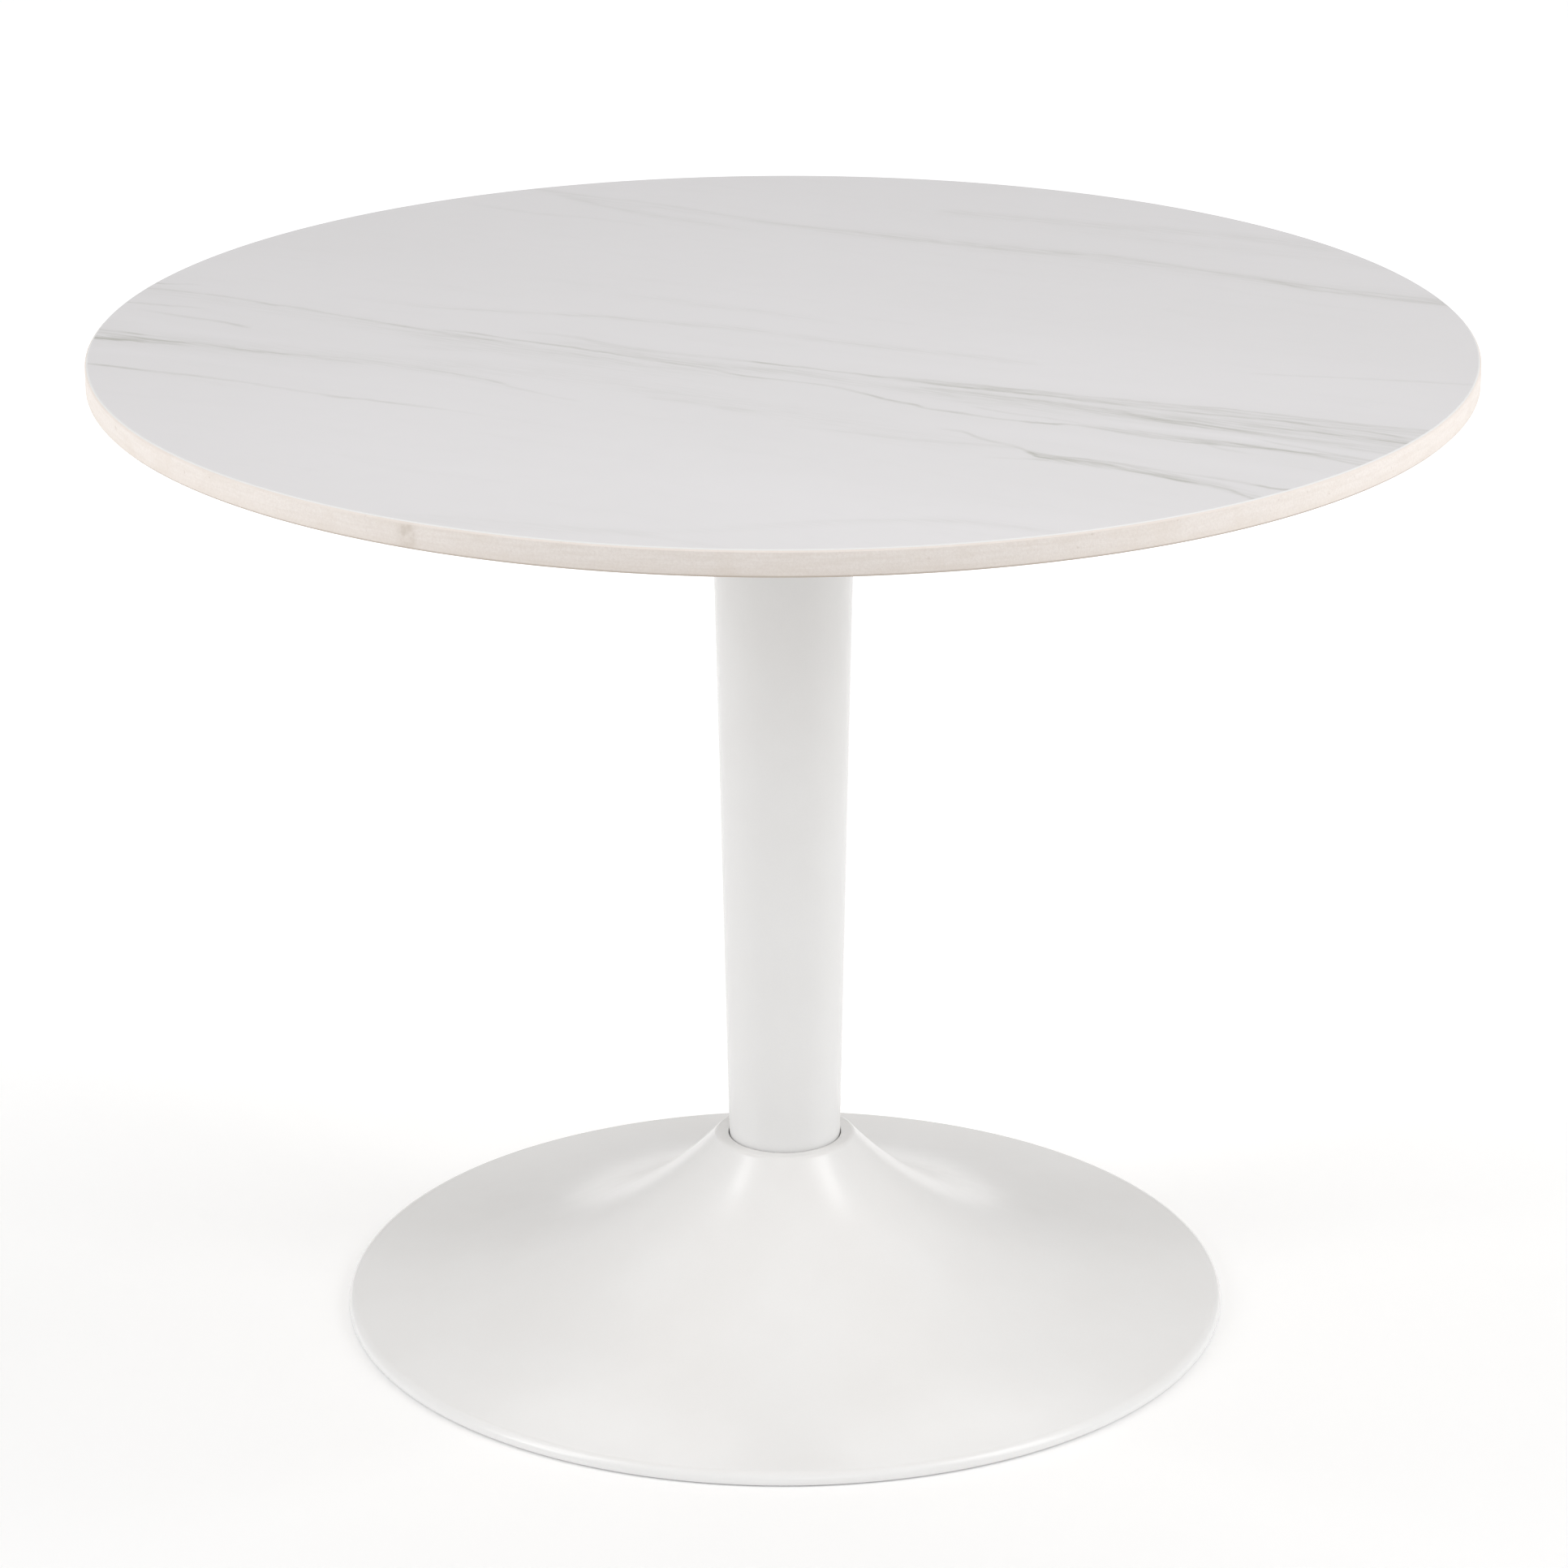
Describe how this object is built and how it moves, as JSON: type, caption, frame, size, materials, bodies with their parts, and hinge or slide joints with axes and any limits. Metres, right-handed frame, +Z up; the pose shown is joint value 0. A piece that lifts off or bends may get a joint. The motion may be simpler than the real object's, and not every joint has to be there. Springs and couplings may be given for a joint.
{
  "type": "round pedestal table",
  "caption": "Low round side table: marble-look ceramic top on a tapered white steel column and a trumpet base, bolted together from below.",
  "frame": {"origin": "centre of the base on the floor", "axes": "+Z up along the column's axis; the object is round, so X and Y only fix the direction of the marble pattern: the picture looks along +Y"},
  "size_m": [0.5999, 0.6, 0.45],
  "materials": {
    "ceramic_slab": "satin glaze with a marble print, bare cream edge",
    "brass_insert": "turned",
    "grey_foam": "closed-cell foam",
    "white_powder_coat": "satin powder coat with fine orange peel",
    "zinc_screw": "bright zinc plate",
    "zinc_washer": "bright zinc plate",
    "bare_steel": "turned, oiled",
    "dark_steel": "blackened, turned",
    "ballast_iron": "rough casting, dipped black",
    "black_paint": "matt black paint",
    "dark_rubber": "moulded, matt"
  },
  "bodies": {
    "root": {"tabletop_slab": "ceramic_slab", "tabletop_inserts": "brass_insert", "plate_gasket": "grey_foam", "top_plate": "white_powder_coat", "plate_screws": "zinc_screw", "plate_washers": "zinc_washer", "plate_spring_washers": "zinc_washer", "column_tube": "white_powder_coat", "column_foot_plug": "bare_steel", "base_shell": "white_powder_coat", "hub_socket": "dark_steel", "locating_pin": "bare_steel", "hub_spacer": "bare_steel", "ballast_weight": "ballast_iron", "bottom_plate": "black_paint", "bottom_plate_screws": "zinc_screw", "base_bolt": "zinc_screw", "base_washer": "zinc_washer", "base_spring_washer": "zinc_washer", "foot_ring": "dark_rubber"}
  },
  "joints": []
}
